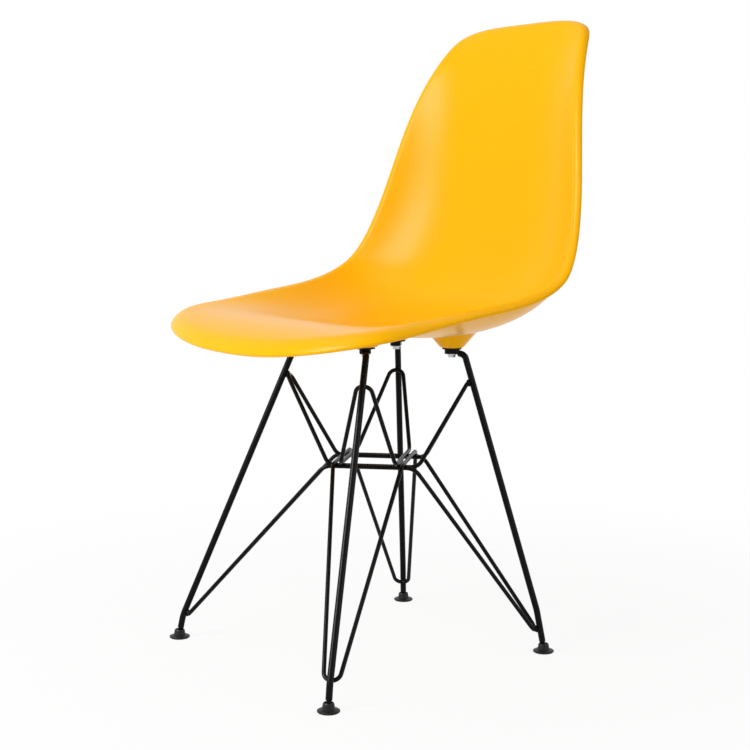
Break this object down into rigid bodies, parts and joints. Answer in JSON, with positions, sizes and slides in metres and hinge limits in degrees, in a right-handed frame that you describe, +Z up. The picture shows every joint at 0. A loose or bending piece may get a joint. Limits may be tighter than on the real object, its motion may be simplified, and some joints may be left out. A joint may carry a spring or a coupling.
{
  "type": "moulded plastic shell chair",
  "caption": "Side chair with a one-piece moulded bucket seat and back with a rolled rim, on splayed rod legs braced by crossing wire loops, with swivel glides.",
  "frame": {"origin": "bottom centre of the bounding box, on the floor, between the feet", "axes": "+Z up, the sitter faces -Y, the sitter's left is +X"},
  "size_m": [0.457, 0.4609, 0.7857],
  "materials": {
    "shell_plastic": "fine satin moulding",
    "painted_rod": "gloss black powder coat",
    "spacer_rubber": "matt",
    "bolt_steel": "zinc plated",
    "insert_brass": "plain",
    "glide_plastic": "moulded nylon"
  },
  "bodies": {
    "chair": {"seat_shell": "shell_plastic", "leg_front_left": "painted_rod", "collar_front_left": "painted_rod", "spacer_front_left": "spacer_rubber", "washer_front_left": "bolt_steel", "bolt_front_left": "bolt_steel", "threaded_insert_front_left": "insert_brass", "leg_front_right": "painted_rod", "collar_front_right": "painted_rod", "spacer_front_right": "spacer_rubber", "washer_front_right": "bolt_steel", "bolt_front_right": "bolt_steel", "threaded_insert_front_right": "insert_brass", "leg_rear_left": "painted_rod", "collar_rear_left": "painted_rod", "spacer_rear_left": "spacer_rubber", "washer_rear_left": "bolt_steel", "bolt_rear_left": "bolt_steel", "threaded_insert_rear_left": "insert_brass", "leg_rear_right": "painted_rod", "collar_rear_right": "painted_rod", "spacer_rear_right": "spacer_rubber", "washer_rear_right": "bolt_steel", "bolt_rear_right": "bolt_steel", "threaded_insert_rear_right": "insert_brass", "upper_loop_right_front": "painted_rod", "upper_loop_left_front": "painted_rod", "lower_loop_right_front": "painted_rod", "lower_loop_left_front": "painted_rod"},
    "glide_front_left": {"glide_front_left": "glide_plastic"},
    "glide_front_right": {"glide_front_right": "glide_plastic"},
    "glide_rear_left": {"glide_rear_left": "glide_plastic"},
    "glide_rear_right": {"glide_rear_right": "glide_plastic"}
  },
  "joints": [
    {"name": "glide_tilt_front_left", "type": "hinge", "parent": "chair", "child": "glide_front_left", "pos_m": [0.1717, -0.1975, 0.006], "axis": [0.7784, 0.6277, 0], "range_deg": [-8, 8]},
    {"name": "glide_tilt_front_right", "type": "hinge", "parent": "chair", "child": "glide_front_right", "pos_m": [-0.1717, -0.1975, 0.006], "axis": [0.7784, -0.6277, 0], "range_deg": [-8, 8]},
    {"name": "glide_tilt_rear_left", "type": "hinge", "parent": "chair", "child": "glide_rear_left", "pos_m": [0.1464, 0.1435, 0.006], "axis": [-0.6642, 0.7475, 0], "range_deg": [-8, 8]},
    {"name": "glide_tilt_rear_right", "type": "hinge", "parent": "chair", "child": "glide_rear_right", "pos_m": [-0.1464, 0.1435, 0.006], "axis": [-0.6642, -0.7475, 0], "range_deg": [-8, 8]}
  ]
}
